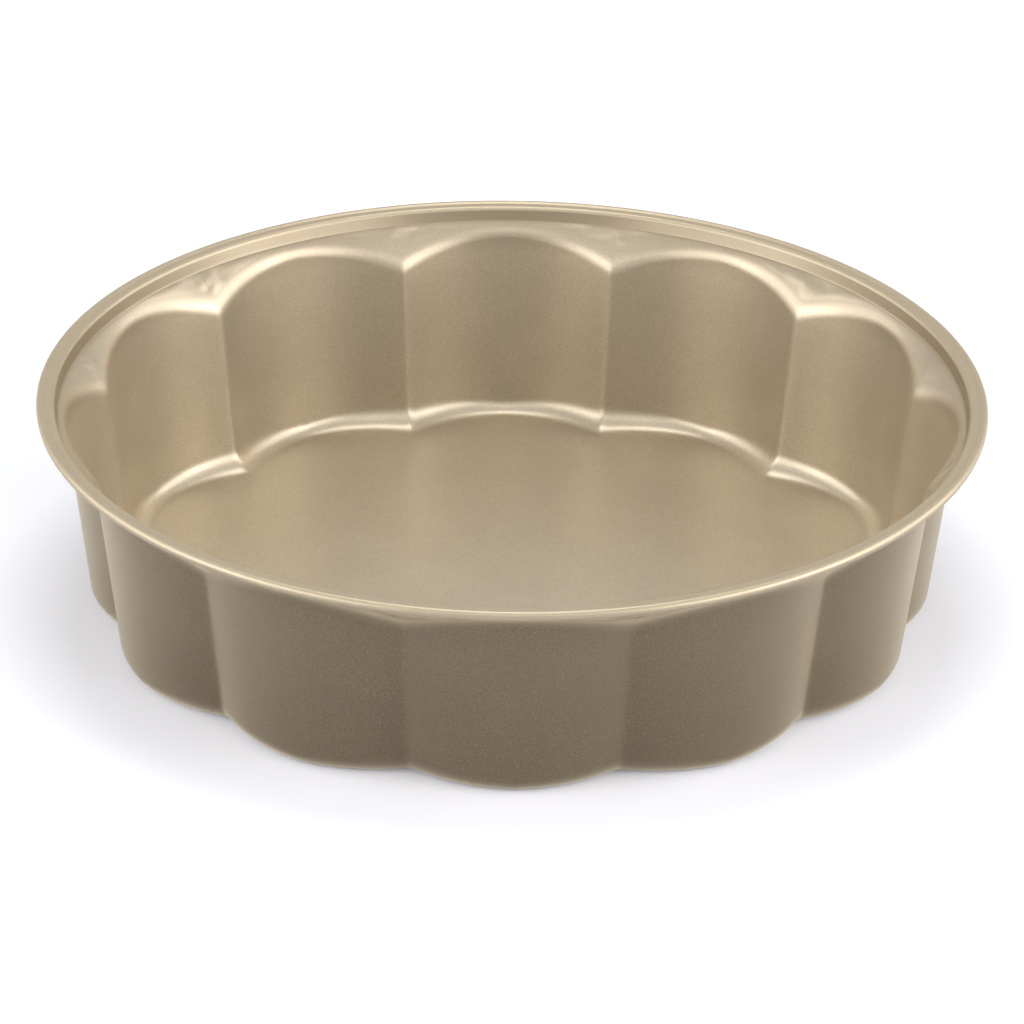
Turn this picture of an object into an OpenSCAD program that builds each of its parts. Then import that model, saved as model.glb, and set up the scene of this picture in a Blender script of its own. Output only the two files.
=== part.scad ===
// Scalloped brioche mould: one sheet of coated steel drawn into a round tin of twelve lobes.
// A sloping shoulder runs out from the lobes to a plain collar, and the edge is rolled round a wire.
// Origin: centre of the floor's underside. Z up. A lobe faces the front (-Y). Millimetres.

/* [Overall] */
// Diameter over the rolled rim
rim_diameter = 280; // [220:1:400]
// Height from the table to the top of the rim
pan_height = 66; // [45:1:110]
// Thickness of the steel sheet
sheet = 0.6; // [0.4:0.05:1]

/* [Lobes] */
// Number of lobes round the pan
lobe_count = 12; // [9:1:16]
// Outside radius of one lobe's arc, where the wall would meet the table
lobe_radius = 48; // [40:0.5:60]
// Outward lean of the lobe walls, in degrees from upright
lobe_draft = 7.5; // [3:0.5:12]
// Outside radius of the curve between the floor and the lobe walls
floor_fillet = 4.5; // [2:0.25:8]

/* [Shoulder and collar] */
// Width of the shoulder at the crown of a lobe, where it is narrowest
crown_ledge = 2.2; // [1:0.1:6]
// Slope of the shoulder that closes the corners between the lobes, in degrees from level
shoulder_slope = 43; // [30:1:55]
// Depth from the top of the rim down to the shoulder's outer edge
collar_depth = 4.9; // [3.5:0.1:12]
// Outward lean of the collar, in degrees from upright
collar_draft = 16; // [0:1:20]

/* [Rolled rim] */
// Width of the whole rim, from the collar's inside edge to the outer edge
rim_width = 5.4; // [4.6:0.1:12]
// Diameter of the wire that the edge is rolled round
wire_diameter = 1.5; // [1:0.1:2.5]
// Free space between the wire and the sheet that wraps it
wire_clearance = 0.1; // [0.05:0.05:0.3]
// Radius, seen from above, of the bend from the collar to the rim
bend_radius = 1.2; // [1.1:0.1:2]
// Height of the rolled bead above the flat strip that leads to it
bead_rise = 0.45; // [0.3:0.05:0.8]
// Gap that stays between the sheet's rolled-in edge and the flat strip
curl_gap = 0.3; // [0.2:0.05:0.5]

/* [Hidden] */
$fn = 144;

steel_gold = [0.66, 0.58, 0.47];
rim_gold = [0.78, 0.70, 0.58];
wire_grey = [0.62, 0.63, 0.65];

// Rolled bead, as a section in radius and height
bore_radius = wire_diameter / 2 + wire_clearance;
bead_radius = bore_radius + sheet;
bead_centre_r = rim_diameter / 2 - bead_radius;
bead_centre_z = pan_height - bead_radius;
strip_top_z = pan_height - bead_rise;

// Bend between the collar and the strip: its centre, and where the collar hands over to it
bend_centre_r = rim_diameter / 2 - rim_width + bend_radius;
bend_centre_z = strip_top_z - bend_radius;
collar_top_inside_r = bend_centre_r - bend_radius;

// Shoulder: outer surface, at the foot of the collar
shoulder_z = pan_height - collar_depth;
collar_wall = sheet / cos(collar_draft);
collar_foot_r = collar_top_inside_r + collar_wall - (bend_centre_z - shoulder_z) * tan(collar_draft);

// Lobes: the crown stays one ledge inside the collar's foot at the shoulder
lobe_pitch = 360 / lobe_count;
crown_r = collar_foot_r - crown_ledge - shoulder_z * tan(lobe_draft);
lobe_centre_r = crown_r - lobe_radius;
core_r = lobe_centre_r * cos(lobe_pitch / 2);
// Distance from the pan's axis to the crease between two lobes, and from a lobe's axis to the
// centre of its floor curve
rib_r = core_r + sqrt(pow(lobe_radius, 2) - pow(lobe_centre_r * sin(lobe_pitch / 2), 2));
curve_x = lobe_radius + floor_fillet * tan(lobe_draft) - floor_fillet / cos(lobe_draft);
overshoot = 1;

// Half section of one lobe: floor, tangent floor curve and drafted wall, set in by the given depth
module lobe_section(inset) {
    curve_r = floor_fillet - inset;
    tangent = [curve_x + curve_r * cos(lobe_draft), floor_fillet - curve_r * sin(lobe_draft)];
    top_r = lobe_radius - inset / cos(lobe_draft) + shoulder_z * tan(lobe_draft);
    polygon([[0, inset], [curve_x, inset], tangent, [top_r, shoulder_z], [0, shoulder_z]]);
    translate([curve_x, floor_fillet]) circle(r = curve_r);
}

// Half section of the shoulder and collar above the lobes, set in by the given depth
module collar_section(inset, top_z) {
    slope_in = inset / cos(shoulder_slope);
    wall_in = inset / cos(collar_draft);
    foot_z = shoulder_z + (slope_in - wall_in * tan(shoulder_slope))
        / (1 - tan(collar_draft) * tan(shoulder_slope));
    foot_r = collar_foot_r - wall_in + (foot_z - shoulder_z) * tan(collar_draft);
    inner_z = foot_z - (foot_r - rib_r) * tan(shoulder_slope);
    top_r = foot_r + (top_z - foot_z) * tan(collar_draft);
    polygon([[0, inner_z], [rib_r, inner_z], [foot_r, foot_z], [top_r, top_z], [0, top_z]]);
}

// Solid form of the tin as one lobe sees it: that lobe, the core, the shoulder and the collar
module lobe_form(inset, top_z) {
    translate([lobe_centre_r, 0, 0]) rotate_extrude() lobe_section(inset);
    translate([0, 0, inset]) cylinder(r = core_r, h = shoulder_z - inset);
    rotate_extrude() collar_section(inset, top_z);
}

// Slice of space round the X axis that belongs to one lobe
module lobe_slice() {
    reach = rim_diameter;
    half_width = reach * tan(lobe_pitch / 2);
    translate([0, 0, -overshoot])
        linear_extrude(height = pan_height + 2 * overshoot)
            polygon([[0, 0], [reach, -half_width], [reach, half_width]]);
}

// Drawn sheet over one lobe's slice
module shell_sector() {
    intersection() {
        lobe_slice();
        difference() {
            lobe_form(0, bend_centre_z);
            lobe_form(sheet, bend_centre_z + overshoot);
        }
    }
}

// Drawn sheet: floor, lobed wall, shoulder and collar, up to where the rim's bend starts
module pan_shell() {
    color(steel_gold)
        for (i = [0 : lobe_count - 1])
            rotate([0, 0, i * lobe_pitch - 90]) shell_sector();
}

// Section of the sheet's edge: the bend, the flat strip and the curl round the wire
module rim_section() {
    difference() {
        translate([bend_centre_r, bend_centre_z]) circle(r = bend_radius);
        translate([bend_centre_r, bend_centre_z]) circle(r = bend_radius - sheet);
        translate([bend_centre_r, bend_centre_z - 2 * bend_radius]) square(4 * bend_radius);
        translate([bend_centre_r - 2 * bend_radius, bend_centre_z - 4 * bend_radius])
            square(4 * bend_radius);
    }
    difference() {
        union() {
            translate([bead_centre_r, bead_centre_z]) circle(r = bead_radius);
            translate([bend_centre_r, strip_top_z - sheet])
                square([bead_centre_r - bend_centre_r, sheet]);
        }
        translate([bead_centre_r, bead_centre_z]) circle(r = bore_radius);
        translate([bead_centre_r - 2 * bead_radius, strip_top_z - sheet - curl_gap])
            square([2 * bead_radius - bore_radius / 2, curl_gap]);
    }
}

module rolled_rim() {
    color(rim_gold) rotate_extrude() rim_section();
}

// Ring of steel wire inside the curl
module rim_wire() {
    color(wire_grey)
        rotate_extrude()
            translate([bead_centre_r, bead_centre_z]) circle(d = wire_diameter);
}

pan_shell();
rolled_rim();
rim_wire();
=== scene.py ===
import math

import bmesh
import bpy
from mathutils import Matrix, Vector


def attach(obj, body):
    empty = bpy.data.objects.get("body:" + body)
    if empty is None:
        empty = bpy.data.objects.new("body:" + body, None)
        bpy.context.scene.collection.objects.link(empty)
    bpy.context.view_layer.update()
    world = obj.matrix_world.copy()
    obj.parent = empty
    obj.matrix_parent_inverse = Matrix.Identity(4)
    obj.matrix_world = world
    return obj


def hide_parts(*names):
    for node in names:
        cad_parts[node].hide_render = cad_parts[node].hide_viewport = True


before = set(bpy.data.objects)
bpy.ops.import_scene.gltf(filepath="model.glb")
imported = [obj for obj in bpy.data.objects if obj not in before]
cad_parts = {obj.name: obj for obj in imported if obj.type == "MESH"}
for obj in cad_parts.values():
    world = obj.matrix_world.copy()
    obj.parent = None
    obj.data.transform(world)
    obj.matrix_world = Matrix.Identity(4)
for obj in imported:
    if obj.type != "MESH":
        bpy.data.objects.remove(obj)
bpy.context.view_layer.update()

# Twelve-lobed brioche mould: looks, light and camera.
# Lengths in metres and angles in degrees, unless a note gives another unit.
mm = 0.001
scene = bpy.context.scene
print("frame loaded:", sorted(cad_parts))


# Node maths: a wrapped socket takes part in Python expressions, and each step adds a Math node
class Signal:
    def __init__(self, graph, socket):
        self.graph = graph
        self.socket = socket

    def math(self, operation, *others):
        return self.graph.math(operation, self, *others)

    def output(self, name):
        return Signal(self.graph, self.socket.node.outputs[name])

    def __add__(self, other):
        return self.math("ADD", other)

    def __radd__(self, other):
        return self.math("ADD", other)

    def __sub__(self, other):
        return self.math("SUBTRACT", other)

    def __rsub__(self, other):
        return self.graph.math("SUBTRACT", other, self)

    def __mul__(self, other):
        return self.math("MULTIPLY", other)

    def __rmul__(self, other):
        return self.math("MULTIPLY", other)

    def __truediv__(self, other):
        return self.math("DIVIDE", other)

    def __rtruediv__(self, other):
        return self.graph.math("DIVIDE", other, self)

    def __pow__(self, other):
        return self.math("POWER", other)

    def __gt__(self, other):
        return self.math("GREATER_THAN", other)

    def __lt__(self, other):
        return self.math("LESS_THAN", other)


class Graph:
    def __init__(self, tree):
        self.tree = tree

    # One way to add any node: its settings first, then the values or links of its sockets
    def add(self, kind, settings=None, values=None, output=0):
        node = self.tree.nodes.new(kind)
        for name, value in (settings or {}).items():
            setattr(node, name, value)
        for key, value in (values or {}).items():
            if isinstance(value, Signal):
                self.tree.links.new(value.socket, node.inputs[key])
            else:
                node.inputs[key].default_value = value
        if len(node.outputs) == 0:
            return node
        return Signal(self, node.outputs[output])

    def math(self, operation, *operands):
        return self.add("ShaderNodeMath", {"operation": operation}, dict(enumerate(operands)))

    def clamped(self, value):
        return self.math("MINIMUM", self.math("MAXIMUM", value, 0.0), 1.0)

    def mixColours(self, factor, first, second):
        # On a Mix node, sockets 6 and 7 and output 2 are those for colours
        return self.add("ShaderNodeMix", {"data_type": "RGBA"}, {0: factor, 6: first, 7: second}, 2)


# Node tree of a material or a world, emptied for its own nodes
def emptyGraph(owner):
    owner.use_nodes = True
    owner.node_tree.nodes.clear()
    return Graph(owner.node_tree)


def addObject(name, data):
    made = bpy.data.objects.new(name, data)
    scene.collection.objects.link(made)
    return made


def addFromBmesh(name, shape, material):
    mesh = bpy.data.meshes.new(name)
    shape.to_mesh(mesh)
    shape.free()
    mesh.materials.append(material)
    return addObject(name, mesh)


def meshFromObject(source, name):
    evaluated = source.evaluated_get(bpy.context.evaluated_depsgraph_get())
    mesh = bpy.data.meshes.new_from_object(evaluated)
    mesh.name = name
    return mesh


# A noise varies round this value, and so does the mix of two tones
middle = 0.5

# Finish of the sheet: champagne non-stick coat, satin, with a fine metallic speckle.
# The grain and the cloud mix the light and the dark tone. Painted shade covers a share of them
# from the top of the lobes up, and a further share, a painted dark band, from the foot of the
# collar up.
insideLook = {
    "lightTone": (0.476, 0.403, 0.299, 1.0),
    "darkTone": (0.342, 0.289, 0.214, 1.0),
    "speckTone": (0.74, 0.66, 0.52, 1.0),
    # The darkest tone and its shares below are painted shade on the shoulders and the collar, not
    # the coat's own colour
    "paintedShadeTone": (0.20, 0.152, 0.096, 1.0),
    "upperShadeShare": 0.50,
    "upperShadeFrom": 52.0 * mm,
    "upperShadeBlend": 9.0 * mm,
    "collarShadeShare": 0.22,
    "collarShadeFrom": 60.7 * mm,
    "collarShadeBlend": 0.5 * mm,
    "grainPerMetre": 2300.0,
    "grainDetail": 3.0,
    "grainHarshness": 0.65,
    "grainMiddle": 0.5,
    "grainContrast": 2.2,
    "grainDepth": 0.006 * mm,
    "grainStrength": 0.30,
    "cloudPerMetre": 55.0,
    "cloudDetail": 4.0,
    "cloudHarshness": 0.55,
    "cloudContrast": 0.4,
    "speckPerMetre": 85.0,
    "speckRadius": 0.022,
    "speckShare": 0.06,
    "speckStrength": 0.6,
    "metal": 0.65,
    "specular": 0.20,
    "specularTint": (1.0, 0.93, 0.78, 1.0),
    "sheen": 0.0,
    "sheenRoughness": 0.5,
    "sheenTint": (1.0, 0.85, 0.63, 1.0),
    "coat": 0.35,
    "coatRoughness": 0.20,
    "roughness": 0.38,
    "cloudRoughness": 0.03,
    "grainRoughness": 0.08,
}
# The outside's coat is painted darker and browner than the inside's, as painted shade for the
# darker surroundings that it reflects. It has a soft sheen towards its edges, under a thin clear
# layer
outsideShadedLook = dict(
    insideLook,
    lightTone=(0.162, 0.125, 0.075, 1.0),
    darkTone=(0.098, 0.075, 0.044, 1.0),
    speckTone=(0.46, 0.41, 0.30, 1.0),
    upperShadeShare=0.0,
    collarShadeShare=0.0,
    grainMiddle=0.60,
    grainContrast=3.6,
    grainStrength=0.05,
    metal=0.60,
    sheen=0.6,
    coat=0.20,
    coatRoughness=0.14,
    roughness=0.33,
)
# The rolled rim is plainer and duller than the inside, and its coat is painted darker: painted
# shade that tones down the light it catches
rimShadedLook = dict(
    insideLook,
    lightTone=(0.375, 0.312, 0.220, 1.0),
    darkTone=(0.305, 0.253, 0.178, 1.0),
    upperShadeShare=0.0,
    collarShadeShare=0.0,
    coat=0.20,
    roughness=0.45,
)


# Noise with the scale, detail and harshness that the look gives for one of its patterns
def patternNoise(graph, place, look, pattern):
    return graph.add("ShaderNodeTexNoise", None, {
        "Vector": place,
        "Scale": look[pattern + "PerMetre"],
        "Detail": look[pattern + "Detail"],
        "Roughness": look[pattern + "Harshness"],
    })


def coatedSteel(name, look):
    material = bpy.data.materials.new(name)
    graph = emptyGraph(material)
    place = graph.add("ShaderNodeTexCoord", output="Object")
    grain = patternNoise(graph, place, look, "grain")
    cloud = patternNoise(graph, place, look, "cloud")
    shade = (grain - look["grainMiddle"]) * look["grainContrast"]
    shade = shade + (cloud - middle) * look["cloudContrast"] + middle
    colour = graph.mixColours(graph.clamped(shade), look["darkTone"], look["lightTone"])

    # Painted shade: darker from the top of the lobes up, and a painted dark band from the foot of
    # the collar up
    height = graph.add("ShaderNodeSeparateXYZ", None, {0: place}, "Z")
    upperShade = graph.clamped((height - look["upperShadeFrom"]) / look["upperShadeBlend"])
    collar = graph.clamped((height - look["collarShadeFrom"]) / look["collarShadeBlend"])
    shadeShare = upperShade * look["upperShadeShare"] + collar * look["collarShadeShare"]
    colour = graph.mixColours(shadeShare, colour, look["paintedShadeTone"])

    # Pale specks: a small dot in a few of the pattern's cells
    cells = graph.add("ShaderNodeTexVoronoi", None,
                      {"Vector": place, "Scale": look["speckPerMetre"]}, "Distance")
    chosen = graph.add("ShaderNodeSeparateColor", None, {0: cells.output("Color")})
    speck = (cells < look["speckRadius"]) * (chosen < look["speckShare"])
    colour = graph.mixColours(speck * look["speckStrength"], colour, look["speckTone"])

    rough = (cloud - middle) * look["cloudRoughness"]
    rough = rough + (grain - middle) * look["grainRoughness"] + look["roughness"]
    bump = graph.add("ShaderNodeBump", None, {
        "Height": grain,
        "Distance": look["grainDepth"],
        "Strength": look["grainStrength"],
    })
    shader = graph.add("ShaderNodeBsdfPrincipled", None, {
        "Base Color": colour,
        "Roughness": rough,
        "Metallic": look["metal"],
        "Specular IOR Level": look["specular"],
        "Specular Tint": look["specularTint"],
        "Sheen Weight": look["sheen"],
        "Sheen Roughness": look["sheenRoughness"],
        "Sheen Tint": look["sheenTint"],
        "Coat Weight": look["coat"],
        "Coat Roughness": look["coatRoughness"],
        "Normal": bump,
    })
    graph.add("ShaderNodeOutputMaterial", None, {"Surface": shader})
    return material


# Finish of the wire: bare steel with fine drawing marks
wireLook = {
    "bright": (0.62, 0.63, 0.65, 1.0),
    "dull": (0.46, 0.47, 0.49, 1.0),
    "markPerMetre": 900.0,
    "markDetail": 3.0,
    "markHarshness": 0.5,
    "markDepth": 0.01 * mm,
    "markStrength": 0.3,
    "roughness": 0.25,
    "markRoughness": 0.15,
}


def drawnWire(name, look):
    material = bpy.data.materials.new(name)
    graph = emptyGraph(material)
    place = graph.add("ShaderNodeTexCoord", output="Object")
    marks = patternNoise(graph, place, look, "mark")
    bump = graph.add("ShaderNodeBump", None, {
        "Height": marks,
        "Distance": look["markDepth"],
        "Strength": look["markStrength"],
    })
    shader = graph.add("ShaderNodeBsdfPrincipled", None, {
        "Base Color": graph.mixColours(marks, look["dull"], look["bright"]),
        "Roughness": marks * look["markRoughness"] + look["roughness"],
        "Metallic": 1.0,
        "Normal": bump,
    })
    graph.add("ShaderNodeOutputMaterial", None, {"Surface": shader})
    return material


insideFinish = coatedSteel("coated-inside", insideLook)
outsideShadedFinish = coatedSteel("coated-outside-shaded", outsideShadedLook)
rimShadedFinish = coatedSteel("coated-rim-shaded", rimShadedLook)
wireFinish = drawnWire("drawn-wire", wireLook)
print("finishes made")


# Sizes that the drawn sheet, its rolled edge and the wire share
panSizes = {
    "rimRadius": 140.0 * mm,
    "height": 66.0 * mm,
    "sheet": 0.6 * mm,
    "collarDraft": 16.0,
    "rimWidth": 5.4 * mm,
    "bendRadius": 1.2 * mm,
    "beadRadius": 1.45 * mm,
    "beadRise": 0.45 * mm,
}
# From these: the bead's centre, the flat strip's top, and where the collar hands over to the bend,
# as a radius and a height
beadCentre = (panSizes["rimRadius"] - panSizes["beadRadius"],
              panSizes["height"] - panSizes["beadRadius"])
stripTop = panSizes["height"] - panSizes["beadRise"]
collarTop = (panSizes["rimRadius"] - panSizes["rimWidth"], stripTop - panSizes["bendRadius"])

# Drawn sheet: its outer surface by rule, then its thickness
shellSizes = {
    "Lobe count": 12,
    "Lobe centre": 76.05 * mm,
    "Lobe radius": 48.0 * mm,
    "Lobe draft": 7.5,
    "Floor curve": 5.2 * mm,
    "Floor curve at crease": 8.5 * mm,
    "Crease softness": 0.010,  # in radians round the pan
    "Shoulder curve": 5.9 * mm,
    "Shoulder curve at crease": 10.5 * mm,
    "Shoulder slope": 43.0,
    "Shoulder height": 61.1 * mm,
    "Collar foot": 134.29 * mm,
    "Collar draft": panSizes["collarDraft"],
    "Collar curve": 1.2 * mm,
    "Shell top": collarTop[1],
    "Wrinkle depth": 0.45 * mm,
    "Wrinkle scale": 150.0,
    "Wrinkle seed": 3.7,
}
shellDetail = {
    "columnsPerLobe": 40,
    "creaseCrowding": 1.6,
    "wrinkleDetail": 2.0,
    "wrinkleContrast": 5.0,
    "wrinkleCrowding": 2.0,
    "mergeDistance": 0.002 * mm,
}
# Mesh rows of each straight run of the section, and of the curve at its end
shellRows = {"floor": (8, 12), "wall": (10, 10), "shoulder": (10, 6), "collar": (3, 0)}


# Point at a share of the way along the curve that rounds a corner of the section.
# The section runs at the angle "before" up to the corner, and at "after" from there.
def curvePoint(corner, before, after, radius, share):
    turn = after - before
    side = turn.math("SIGN")
    setback = radius * (turn.math("ABSOLUTE") / 2.0).math("TANGENT")
    startX = corner[0] - setback * before.math("COSINE")
    startZ = corner[1] - setback * before.math("SINE")
    angle = before + turn * share
    x = startX + side * radius * (angle.math("SINE") - before.math("SINE"))
    z = startZ - side * radius * (angle.math("COSINE") - before.math("COSINE"))
    return x, z


def buildShellTree():
    tree = bpy.data.node_groups.new("lobed-shell", "GeometryNodeTree")
    tree.interface.new_socket("Geometry", in_out="OUTPUT", socket_type="NodeSocketGeometry")
    for name in shellSizes:
        tree.interface.new_socket(name, in_out="INPUT", socket_type="NodeSocketFloat")
    tree.interface.new_socket("Finish", in_out="INPUT", socket_type="NodeSocketMaterial")
    graph = Graph(tree)
    given = graph.add("NodeGroupInput")
    size = {name: given.output(name) for name in [*shellSizes, "Finish"]}

    # A flat grid of one unit each way gives every point its column and its row
    gridSize = 1.0
    rows = sum(straight + curved for straight, curved in shellRows.values())
    columns = size["Lobe count"] * shellDetail["columnsPerLobe"]
    grid = graph.add("GeometryNodeMeshGrid", None, {
        "Size X": gridSize,
        "Size Y": gridSize,
        "Vertices X": columns + 1.0,
        "Vertices Y": rows + 1,
    })
    place = graph.add("GeometryNodeInputPosition")
    across = graph.add("ShaderNodeSeparateXYZ", None, {0: place})
    column = ((across + gridSize / 2.0) * columns).math("ROUND")
    row = ((across.output("Y") + gridSize / 2.0) * rows).math("ROUND")

    # Angle round the pan, with the columns crowded towards the creases
    lobePlace = column / shellDetail["columnsPerLobe"]
    lobeIndex = lobePlace.math("FLOOR")
    offset = (lobePlace - lobeIndex) * 2.0 - 1.0
    halfPitch = math.pi / size["Lobe count"]
    fromCrease = (1.0 - offset.math("ABSOLUTE")).math("MAXIMUM", 0.0)
    fromCrease = fromCrease ** shellDetail["creaseCrowding"]
    distance = fromCrease * halfPitch
    angle = (lobeIndex * 2.0 + 1.0) * halfPitch + offset.math("SIGN") * (halfPitch - distance)
    angle = angle - halfPitch - math.pi / 2.0  # the first lobe's middle faces the front

    # The softened crease: the lobe is read a little short of its edge
    soft = size["Crease softness"]
    softened = (distance * distance + soft * soft).math("SQRT")
    crownError = (halfPitch * halfPitch + soft * soft).math("SQRT") - halfPitch
    local = halfPitch - softened + fromCrease * crownError

    # Distance from the pan's middle to the lobe's arc, at this angle within the lobe
    along = size["Lobe centre"] * local.math("COSINE")
    aside = size["Lobe centre"] * local.math("SINE")

    def lobeReach(radius):
        return along + (radius * radius - aside * aside).math("SQRT")

    # Where the wall leaves the floor, where it meets the shoulder, and the collar's top
    slopeOut = size["Lobe draft"].math("RADIANS").math("TANGENT")
    base = lobeReach(size["Lobe radius"])
    top = lobeReach(size["Lobe radius"] + size["Shoulder height"] * slopeOut)
    wallLean = (top - base) / size["Shoulder height"]
    shoulderRun = 1.0 / size["Shoulder slope"].math("RADIANS").math("TANGENT")
    shoulderBase = size["Collar foot"] - size["Shoulder height"] * shoulderRun
    cornerZ = (shoulderBase - base) / (wallLean - shoulderRun)
    cornerX = base + wallLean * cornerZ
    collarRise = size["Shell top"] - size["Shoulder height"]
    collarLean = size["Collar draft"].math("RADIANS")
    collarReach = size["Collar foot"] + collarRise * collarLean.math("TANGENT")

    # Slope of each run of the section. The floor's is also the zero that the sums below start from.
    level = graph.math("RADIANS", 0.0)
    wallAngle = (1.0 / wallLean).math("ARCTANGENT")
    shoulderAngle = size["Shoulder slope"].math("RADIANS")
    collarAngle = math.pi / 2.0 - collarLean

    # The press bends the sheet less sharply towards the creases
    def widened(name):
        atCrease = size[name + " at crease"]
        return atCrease + (size[name] - atCrease) * fromCrease

    # At the end of each straight run: the corner, the angles before and after it, and its radius
    collarFoot = (size["Collar foot"], size["Shoulder height"])
    corners = {
        "floor": ((base, level), level, wallAngle, widened("Floor curve")),
        "wall": ((cornerX, cornerZ), wallAngle, shoulderAngle, widened("Shoulder curve")),
        "shoulder": (collarFoot, shoulderAngle, collarAngle, size["Collar curve"]),
    }

    # The section is a sum of steps, each of which fills in over its own rows
    def share(first, count):
        return graph.clamped((row - first) / count)

    x, z = level, level
    lastX, lastZ = level, level
    firstRow = 0
    straightShares = {}
    for name, (corner, before, after, radius) in corners.items():
        straightRows, curvedRows = shellRows[name]
        straight = share(firstRow, straightRows)
        curved = share(firstRow + straightRows, curvedRows)
        startX, startZ = curvePoint(corner, before, after, radius, 0.0)
        pointX, pointZ = curvePoint(corner, before, after, radius, curved)
        endX, endZ = curvePoint(corner, before, after, radius, 1.0)
        x = x + straight * (startX - lastX) + (pointX - startX)
        z = z + straight * (startZ - lastZ) + (pointZ - startZ)
        lastX, lastZ = endX, endZ
        firstRow += straightRows + curvedRows
        straightShares[name] = straight
    straight = share(firstRow, shellRows["collar"][0])
    x = x + straight * (collarReach - lastX)
    z = z + straight * (size["Shell top"] - lastZ)

    def roundThePan(radius, height):
        return graph.add("ShaderNodeCombineXYZ", None, {
            0: radius * angle.math("COSINE"),
            1: radius * angle.math("SINE"),
            2: height,
        })

    # Small wrinkles that the press leaves on the shoulder between two lobes. They fade out at
    # the shoulder's two edges, and towards the crowns.
    noise = graph.add("ShaderNodeTexNoise", {"noise_dimensions": "4D"}, {
        "Vector": roundThePan(x, z),
        "W": size["Wrinkle seed"],
        "Scale": size["Wrinkle scale"],
        "Detail": shellDetail["wrinkleDetail"],
    })
    shoulderShare = straightShares["shoulder"]
    betweenEdges = shoulderShare * (1.0 - shoulderShare) * 4.0
    nearCrease = (1.0 - fromCrease) ** shellDetail["wrinkleCrowding"]
    ripple = graph.clamped((noise - middle) * shellDetail["wrinkleContrast"] + middle)
    lift = ripple * betweenEdges * nearCrease * size["Wrinkle depth"]
    outerX = x - lift * shoulderAngle.math("SINE")
    outerZ = z + lift * shoulderAngle.math("COSINE")

    shaped = graph.add("GeometryNodeSetPosition", None,
                       {"Geometry": grid, "Position": roundThePan(outerX, outerZ)})
    closed = graph.add("GeometryNodeMergeByDistance", None,
                       {"Geometry": shaped, "Distance": shellDetail["mergeDistance"]})
    smooth = graph.add("GeometryNodeSetShadeSmooth", None, {"Geometry": closed})
    real = graph.add("GeometryNodeRealizeInstances", None, {"Geometry": smooth})
    finished = graph.add("GeometryNodeSetMaterial", None,
                         {"Geometry": real, "Material": size["Finish"]})
    graph.add("NodeGroupOutput", None, {"Geometry": finished})
    return tree


def makeShell():
    tree = buildShellTree()
    holder = addObject("shell-holder", bpy.data.meshes.new("shell-holder"))
    modifier = holder.modifiers.new("lobed shell", "NODES")
    modifier.node_group = tree
    inputs = [item for item in tree.interface.items_tree if item.in_out == "INPUT"]
    sockets = {item.name: item.identifier for item in inputs}
    for name, value in shellSizes.items():
        modifier[sockets[name]] = float(value)
    modifier[sockets["Finish"]] = outsideShadedFinish
    surface = addObject("shell-surface", meshFromObject(holder, "shell-surface"))
    surface.data.materials.append(insideFinish)
    wall = surface.modifiers.new("sheet", "SOLIDIFY")
    wall.thickness = panSizes["sheet"]
    wall.offset = -1.0  # the thickness lies inside the outer surface
    wall.use_even_offset = True
    wall.material_offset = 1  # the inside takes the second finish
    wall.material_offset_rim = 1
    shell = addObject("pan-shell", meshFromObject(surface, "pan-shell"))
    bpy.data.objects.remove(holder)
    bpy.data.objects.remove(surface)
    return shell


# Rolled rim: a section of radius and height, turned round the pan's axis
rimSizes = {"stripBlend": 0.6 * mm, "curlGap": 0.3 * mm, "turns": 360}
# Mesh steps along each curve of the rim's section
rimSteps = {"bend": 10, "blend": 6, "bead": 40, "bore": 28, "innerBend": 8}
# Wire inside the rolled bead
wireSizes = {"diameter": 1.5 * mm, "sides": 20, "turns": 240}
# Points of a turned section that are nearer than this are one point
weldDistance = 0.0005 * mm
# Faces that meet at more than this angle keep a sharp edge between them
sharpAngle = 40.0


def arc(centre, radius, start, stop, count):
    angles = [math.radians(start + (stop - start) * i / count) for i in range(count + 1)]
    return [(centre[0] + radius * math.cos(a), centre[1] + radius * math.sin(a)) for a in angles]


# Closed section of the sheet's edge: bend, flat strip, bead, and back along the inside
def rimSection(pan, size, steps):
    sheet = pan["sheet"]
    draft = pan["collarDraft"]
    lean = math.radians(draft)
    bendRadius = pan["bendRadius"]
    bend = (collarTop[0] + bendRadius / math.cos(lean), collarTop[1])
    beadRadius = pan["beadRadius"]
    bore = beadRadius - sheet

    # A small hollow curve leads from the strip up to the bead
    blendRise = stripTop + size["stripBlend"] - beadCentre[1]
    blendRun = math.sqrt((beadRadius + size["stripBlend"]) ** 2 - blendRise ** 2)
    blend = (beadCentre[0] - blendRun, beadCentre[1] + blendRise)
    contact = math.degrees(math.atan2(blendRise, -blendRun))

    # The curl ends a gap below the strip
    underside = stripTop - sheet - beadCentre[1]
    curlEnd = math.degrees(math.asin((size["curlGap"] - underside) / beadRadius)) - 180.0
    boreStart = 180.0 - math.degrees(math.asin(underside / bore))

    outsideFoot = (collarTop[0] + sheet / math.cos(lean), collarTop[1])
    insideFoot = (outsideFoot[0] - sheet * math.cos(lean), outsideFoot[1] + sheet * math.sin(lean))
    section = [insideFoot]
    section += arc(bend, bendRadius, 180.0 - draft, 90.0, steps["bend"])
    section += arc(blend, size["stripBlend"], 270.0, 180.0 + contact, steps["blend"])
    section += arc(beadCentre, beadRadius, contact, curlEnd, steps["bead"])[1:]
    section += arc(beadCentre, bore, curlEnd, boreStart, steps["bore"])
    section += arc(bend, bendRadius - sheet, 90.0, 180.0 - draft, steps["innerBend"])
    section += [outsideFoot]
    return section


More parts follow.
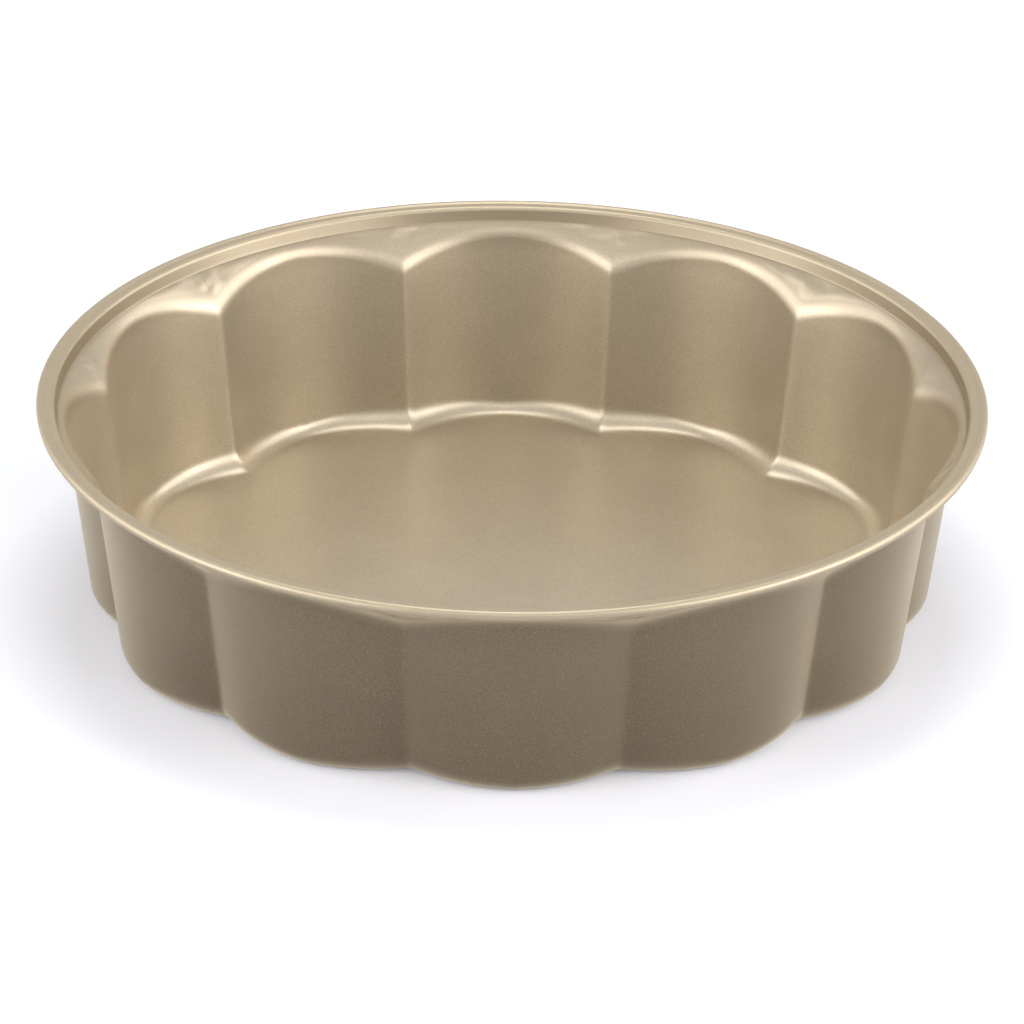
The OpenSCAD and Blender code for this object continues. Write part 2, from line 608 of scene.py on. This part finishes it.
def turned(name, section, turns, material):
    shape = bmesh.new()
    rings = []
    for i in range(turns):
        a = 2.0 * math.pi * i / turns
        points = [(r * math.cos(a), r * math.sin(a), z) for r, z in section]
        rings.append([shape.verts.new(point) for point in points])
    count = len(section)
    for i in range(turns):
        here, there = rings[i], rings[(i + 1) % turns]
        for j in range(count):
            k = (j + 1) % count
            shape.faces.new((here[j], there[j], there[k], here[k]))
    bmesh.ops.remove_doubles(shape, verts=shape.verts, dist=weldDistance)
    bmesh.ops.recalc_face_normals(shape, faces=shape.faces)
    return addFromBmesh(name, shape, material)


def makeRim(size):
    section = rimSection(panSizes, size, rimSteps)
    return turned("rolled-rim", section, size["turns"], rimShadedFinish)


def makeWire(size):
    section = arc(beadCentre, size["diameter"] / 2.0, 0.0, 360.0, size["sides"])[:-1]
    return turned("rim-wire", section, size["turns"], wireFinish)


shell = makeShell()
print("shell made:", len(shell.data.polygons), "faces")
rim = makeRim(rimSizes)
wire = makeWire(wireSizes)
print("rim and wire made:", len(rim.data.polygons), len(wire.data.polygons), "faces")

for piece, node, slot in [
    (shell, "pan_shell", "coated_sheet"),
    (rim, "rolled_rim", "coated_rim"),
    (wire, "rim_wire", "wire_steel"),
]:
    piece.data.shade_smooth()
    piece.data.set_sharp_from_angle(angle=math.radians(sharpAngle))
    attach(piece, "root")
    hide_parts(node)


# Camera, mirror and see-through rays, which show the white background
def seenDirectly(graph):
    rays = graph.add("ShaderNodeLightPath", output="Is Camera Ray")
    return graph.clamped(rays + rays.output("Is Glossy Ray") + rays.output("Is Transmission Ray"))


# Floor: plain white, which keeps the mould's shadow. The glow is only seen and lights nothing.
floorLook = {
    "radius": 8.0,
    "sides": 96,
    "lit": (0.83, 0.84, 0.90, 1.0),
    "glow": 0.12,
    "drop": 0.05 * mm,
}


def makeFloor(look):
    material = bpy.data.materials.new("floor")
    graph = emptyGraph(material)
    lit = graph.add("ShaderNodeBsdfDiffuse", None, {"Color": look["lit"]})
    glow = graph.add("ShaderNodeEmission", None, {"Strength": seenDirectly(graph) * look["glow"]})
    both = graph.add("ShaderNodeAddShader", None, {0: lit, 1: glow})
    graph.add("ShaderNodeOutputMaterial", None, {"Surface": both})
    shape = bmesh.new()
    bmesh.ops.create_circle(shape, cap_ends=True, radius=look["radius"], segments=look["sides"])
    bmesh.ops.translate(shape, verts=shape.verts, vec=(0.0, 0.0, -look["drop"]))
    floor = addFromBmesh("floor", shape, material)


# World: white where it is seen directly, and a little light on the object from all round
worldLook = {"colour": (1.0, 1.0, 1.0, 1.0), "seen": 1.0, "light": 0.06}


def makeWorld(look):
    world = bpy.data.worlds.new("studio")
    scene.world = world
    graph = emptyGraph(world)
    seen = seenDirectly(graph)
    strength = seen * look["seen"] + (1.0 - seen) * look["light"]
    background = graph.add("ShaderNodeBackground", None,
                           {"Color": look["colour"], "Strength": strength})
    graph.add("ShaderNodeOutputWorld", None, {"Surface": background})


# Soft square lamps, all turned to the pan: place, side in metres, power in watts
lampLooks = {
    "back": {"place": (0.0, 0.45, 1.8), "side": 0.9, "power": 15.0},
    "top": {"place": (0.0, -0.1, 1.9), "side": 1.5, "power": 2.0},
    "front": {"place": (0.0, -1.35, 1.35), "side": 1.0, "power": 5.0},
    "left": {"place": (-1.8, 0.1, 0.55), "side": 2.0, "power": 33.0},
    "right": {"place": (1.8, 0.1, 0.55), "side": 2.0, "power": 40.0},
    "leftFront": {"place": (-1.45, -1.0, 0.4), "side": 1.6, "power": 27.0},
    "rightFront": {"place": (1.45, -1.0, 0.4), "side": 1.6, "power": 31.0},
}


def makeLamps():
    for name, look in lampLooks.items():
        light = bpy.data.lights.new(name, "AREA")
        light.size = look["side"]
        light.energy = look["power"]
        lamp = addObject(name, light)
        lamp.location = look["place"]
        lamp.rotation_euler = (-Vector(look["place"])).to_track_quat("-Z", "Y").to_euler()


# Camera, as fitted to the outline of the rim and the creases. It looks from the front at a point
# on the pan's axis, and is then swung, pitched and rolled, and moved round the axis by the orbit.
cameraFit = {
    "elevation": 26.5214,
    "distance": 2.26474512,
    "aimHeight": 0.032991,
    "swing": 0.0099,
    "pitch": -0.12533,
    "roll": 0.81682,
    "orbit": -1.00248,
    "focalPixels": 7643.71934,
    "imagePixels": 1024,
    "sensor": 36.0,  # in millimetres
    "clipStart": 0.05,
    "clipEnd": 50.0,
}


def makeCamera(fit):
    rise = math.radians(fit["elevation"])
    right = Vector((1.0, 0.0, 0.0))
    up = Vector((0.0, math.sin(rise), math.cos(rise)))
    ahead = Vector((0.0, math.cos(rise), -math.sin(rise)))
    place = Vector((0.0, 0.0, fit["aimHeight"])) - ahead * fit["distance"]
    swing = Matrix.Rotation(math.radians(-fit["swing"]), 3, up)
    right, ahead = swing @ right, swing @ ahead
    tilt = Matrix.Rotation(math.radians(fit["pitch"]), 3, right)
    up, ahead = tilt @ up, tilt @ ahead
    roll = Matrix.Rotation(math.radians(-fit["roll"]), 3, ahead)
    right, up = roll @ right, roll @ up
    orbit = Matrix.Rotation(math.radians(fit["orbit"]), 3, "Z")
    place, right, up, ahead = orbit @ place, orbit @ right, orbit @ up, orbit @ ahead
    data = bpy.data.cameras.new("camera")
    data.sensor_width = fit["sensor"]
    data.lens = fit["focalPixels"] / fit["imagePixels"] * fit["sensor"]
    data.clip_start, data.clip_end = fit["clipStart"], fit["clipEnd"]
    camera = addObject("camera", data)
    turn = Matrix((right, up, -ahead)).transposed()
    camera.matrix_world = Matrix.Translation(place) @ turn.to_4x4()
    scene.camera = camera


makeFloor(floorLook)
makeWorld(worldLook)
makeLamps()
makeCamera(cameraFit)
scene.view_settings.view_transform = "Standard"
print("stage, lamps and camera made")
